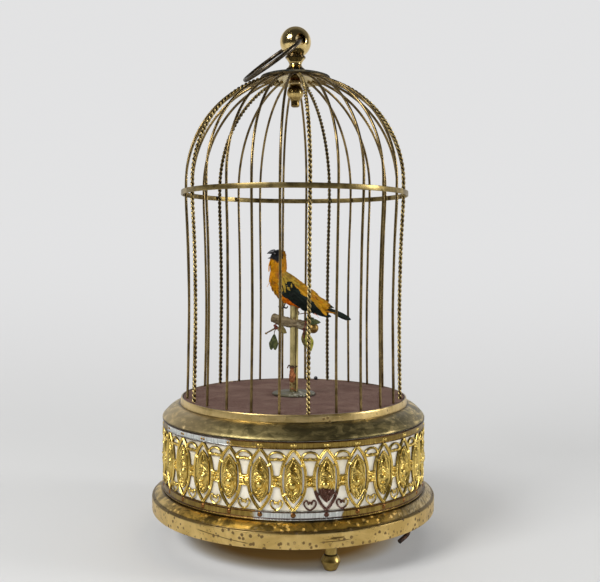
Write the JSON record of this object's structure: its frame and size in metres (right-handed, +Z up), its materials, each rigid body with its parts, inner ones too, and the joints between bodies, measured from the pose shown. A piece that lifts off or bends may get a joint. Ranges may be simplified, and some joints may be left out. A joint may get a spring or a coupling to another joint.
{
  "type": "singing bird automaton",
  "caption": "Clockwork songbird on a perch inside a domed wire cage, on a round base with a pierced gilt gallery, a start lever and a carrying ring.",
  "frame": {"origin": "on the ground under the middle of the round base", "axes": "+Z up along the axis of the cage, -Y the front that the picture shows, +X to the right with the stop lever at the front right, the bird facing -X"},
  "size_m": [0.155, 0.1546, 0.2783],
  "materials": {
    "gilt_brass": "stamped and gilt, worn and spotted with age",
    "bronzed_brass": "darkened, mottled",
    "turned_brass": "turned and polished",
    "cage_wire": "drawn wire, dulled",
    "dark_steel": "oxidised wire",
    "steel": "plain",
    "movement_brass": "milled and lacquered",
    "ivory_lacquer": "ivory lacquer",
    "velvet": "short dusty pile",
    "branch_wood": "bare bark with a gilt ball on its end",
    "yellow_feathers": "feathers over a carved core",
    "black_feathers": "feathers",
    "black_horn": "lacquered",
    "bellows_wood": "planed",
    "bellows_leather": "thin kid"
  },
  "bodies": {
    "cage_and_base": {"foot_1": "turned_brass", "foot_2": "turned_brass", "foot_3": "turned_brass", "base_flange": "gilt_brass", "bottom_plate": "steel", "filigree_band": "gilt_brass", "band_liner": "ivory_lacquer", "upper_cover": "bronzed_brass", "cage_rim": "gilt_brass", "floor_plate": "steel", "floor_velvet": "velvet", "twisted_wire_00": "cage_wire", "twisted_wire_05": "cage_wire", "twisted_wire_11": "cage_wire", "twisted_wire_16": "cage_wire", "twisted_wire_21": "cage_wire", "plain_wire_10": "cage_wire", "plain_wires_01_02": "cage_wire", "plain_wires_03_04": "cage_wire", "plain_wires_06_07": "cage_wire", "plain_wires_08_09": "cage_wire", "plain_wires_12_13": "cage_wire", "plain_wires_14_15": "cage_wire", "plain_wires_17_18": "cage_wire", "plain_wires_19_20": "cage_wire", "plain_wires_22_23": "cage_wire", "plain_wires_24_25": "cage_wire", "cage_hoop": "cage_wire", "crown_cap": "bronzed_brass", "crown_nut": "turned_brass", "finial": "turned_brass", "perch_post": "turned_brass", "post_flange": "bronzed_brass", "perch_branch": "branch_wood", "bird_body": "yellow_feathers", "bird_wing_left": "black_feathers", "bird_wing_right": "black_feathers", "movement_lower_plate": "movement_brass", "movement_upper_plate": "movement_brass", "bellows_base": "bellows_wood", "bellows_leather": "bellows_leather", "whistle": "movement_brass"},
    "carrying_ring": {"carry_ring": "dark_steel"},
    "head": {"bird_head": "yellow_feathers"},
    "beak": {"bird_lower_beak": "black_horn"},
    "tail": {"bird_tail": "black_feathers"},
    "start_lever": {"stop_lever": "dark_steel"},
    "winding": {"winding_key": "steel", "winding_arbor": "steel"},
    "pawl": {"click": "steel"},
    "barrel": {"spring_barrel": "movement_brass", "barrel_cap": "movement_brass", "mainspring": "steel"},
    "cams": {"cam_arbor": "movement_brass"},
    "crank": {"crank_arbor": "movement_brass"},
    "fly": {"governor_fly": "movement_brass"},
    "follower": {"cam_lever": "steel"},
    "rod": {"push_rod": "steel"},
    "bellows": {"bellows_board": "bellows_wood"},
    "piston": {"whistle_piston": "steel"}
  },
  "joints": [
    {"name": "ring_swing", "type": "hinge", "parent": "cage_and_base", "child": "carrying_ring", "pos_m": [0, 0, 0.26985], "axis": [-0.3584, 0.9336, 0], "range_deg": [0, 258]},
    {"name": "head_turn", "type": "hinge", "parent": "cage_and_base", "child": "head", "pos_m": [-0.0087, 0, 0.1453], "axis": [0, 0, 1], "range_deg": [-25, 25]},
    {"name": "beak_open", "type": "hinge", "parent": "head", "child": "beak", "pos_m": [-0.0119, 0, 0.153], "axis": [0, 1, 0], "range_deg": [0, 30]},
    {"name": "tail_flick", "type": "hinge", "parent": "cage_and_base", "child": "tail", "pos_m": [0.01806, 0, 0.12391], "axis": [0, -1, 0], "range_deg": [0, 9]},
    {"name": "lever_swing", "type": "hinge", "parent": "cage_and_base", "child": "start_lever", "pos_m": [0.044, -0.018, 0.0237], "axis": [0, 0, 1], "range_deg": [-9, 9]},
    {"name": "winding_turn", "type": "hinge", "parent": "cage_and_base", "child": "winding", "pos_m": [-0.022, 0.006, 0.0162], "axis": [0, 0, 1], "continuous": true},
    {"name": "click_swing", "type": "hinge", "parent": "cage_and_base", "child": "pawl", "pos_m": [-0.0312, -0.006, 0.0489], "axis": [0, 0, 1], "range_deg": [0, 12], "stiffness_Nm_per_rad": 0.002, "springref_deg": -5.73},
    {"name": "barrel_turn", "type": "hinge", "parent": "cage_and_base", "child": "barrel", "pos_m": [-0.022, 0.006, 0.0223], "axis": [0, 0, 1], "continuous": true},
    {"name": "cams_turn", "type": "hinge", "parent": "cage_and_base", "child": "cams", "pos_m": [0.006, 0.006, 0.0191], "axis": [0, 0, 1], "continuous": true},
    {"name": "crank_turn", "type": "hinge", "parent": "cage_and_base", "child": "crank", "pos_m": [0.015, -0.00959, 0.0191], "axis": [0, 0, 1], "continuous": true},
    {"name": "fly_turn", "type": "hinge", "parent": "cage_and_base", "child": "fly", "pos_m": [0.02997, -0.00695, 0.0191], "axis": [0, 0, 1], "continuous": true},
    {"name": "follower_rock", "type": "hinge", "parent": "cage_and_base", "child": "follower", "pos_m": [0.0228, 0, 0.0546], "axis": [0, -1, 0], "range_deg": [0, 3.6], "stiffness_Nm_per_rad": 0.02, "springref_deg": -5.73},
    {"name": "rod_slide", "type": "slide", "parent": "cage_and_base", "child": "rod", "axis": [0, 0, -1], "range_m": [0, 0.0015]},
    {"name": "board_lift", "type": "hinge", "parent": "cage_and_base", "child": "bellows", "pos_m": [0.008, 0.034, 0.0535], "axis": [-1, 0, 0], "range_deg": [0, 12]},
    {"name": "piston_slide", "type": "slide", "parent": "cage_and_base", "child": "piston", "axis": [-1, 0, 0], "range_m": [0, 0.012]}
  ],
  "couplings": [
    {"joint": "cams_turn", "follows": "barrel_turn", "ratio": -4},
    {"joint": "crank_turn", "follows": "barrel_turn", "ratio": 14},
    {"joint": "fly_turn", "follows": "barrel_turn", "ratio": -52.5},
    {"joint": "rod_slide", "follows": "follower_rock", "m_per_rad": 0.0228},
    {"joint": "beak_open", "follows": "follower_rock", "ratio": 8.3},
    {"joint": "tail_flick", "follows": "follower_rock", "ratio": 2.5}
  ]
}
